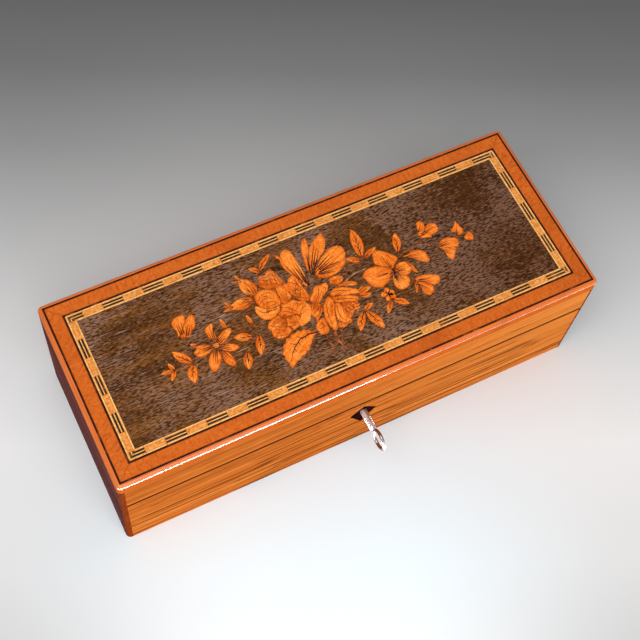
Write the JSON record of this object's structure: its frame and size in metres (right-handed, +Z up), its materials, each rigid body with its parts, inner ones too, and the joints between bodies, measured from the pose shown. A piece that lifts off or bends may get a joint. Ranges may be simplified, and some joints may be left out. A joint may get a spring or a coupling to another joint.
{
  "type": "hinged-lid box",
  "caption": "Long low wooden box with a hinged, locking lid inlaid with a floral marquetry spray inside a chequered border, with its key in the lock",
  "frame": {"origin": "centre of the underside, on the surface that the box stands on, without the key", "axes": "+X along the box to its right end, seen from the keyhole side, +Y to the hinges at the back, +Z up"},
  "size_m": [0.3, 0.1436, 0.088],
  "materials": {
    "satinwood_edge": "french polished, glossy",
    "satinwood_crossband": "french polished, grain across the band",
    "walnut_veneer": "french polished, straight grain",
    "dark_walnut": "polished, open pores",
    "marquetry_ground_veneer": "polished, open pores",
    "marquetry_satinwood": "sand shaded and engraved, polished",
    "boxwood": "polished",
    "ebonised_stringing": "polished",
    "carcass_pine": "bare, aged",
    "brass": "aged satin",
    "lock_iron": "oiled iron",
    "key_steel": "bright polished"
  },
  "bodies": {
    "base": {"base_front_board": "carcass_pine", "base_back_board": "carcass_pine", "base_left_board": "dark_walnut", "base_right_board": "dark_walnut", "bottom_board": "carcass_pine", "base_front_veneer": "walnut_veneer", "base_back_veneer": "walnut_veneer", "escutcheon": "ebonised_stringing", "base_hinge_leaves": "brass", "hinge_pins": "brass", "base_hinge_screws": "brass", "lock_screws": "brass", "lock_plate": "brass", "lock_case": "lock_iron", "drill_pin": "lock_iron", "lock_ward": "lock_iron", "lock_spring": "lock_iron"},
    "lid": {"lid_front_rail": "carcass_pine", "lid_back_rail": "carcass_pine", "lid_left_rail": "dark_walnut", "lid_right_rail": "dark_walnut", "lid_front_veneer": "walnut_veneer", "lid_back_veneer": "walnut_veneer", "lid_top_board": "carcass_pine", "lid_edge_lipping": "satinwood_edge", "outer_stringing": "ebonised_stringing", "crossbanding": "satinwood_crossband", "inner_stringing": "ebonised_stringing", "banding": "boxwood", "banding_dashes": "ebonised_stringing", "marquetry_ground": "marquetry_ground_veneer", "flower_inlays": "marquetry_satinwood", "bud_inlays": "marquetry_satinwood", "leaf_inlays": "marquetry_satinwood", "stem_inlays": "marquetry_satinwood", "lid_hinge_leaves": "brass", "lid_hinge_screws": "brass", "link_plate_screws": "brass", "link_plate": "brass"},
    "key": {"key": "key_steel"},
    "bolt": {"lock_bolt": "lock_iron"}
  },
  "joints": [
    {"name": "lid_hinge", "type": "hinge", "parent": "base", "child": "lid", "pos_m": [0, 0.0563, 0.056], "axis": [-1, 0, 0], "range_deg": [0, 98]},
    {"name": "bolt_slide", "type": "slide", "parent": "base", "child": "bolt", "axis": [1, 0, 0], "range_m": [0, 0.004]},
    {"name": "key_turn", "type": "hinge", "parent": "base", "child": "key", "pos_m": [0, -0.0585, 0.043], "axis": [0, 1, 0], "range_deg": [0, 360]}
  ],
  "couplings": [
    {"joint": "key_turn", "follows": "bolt_slide", "rad_per_m": 1570.8}
  ]
}
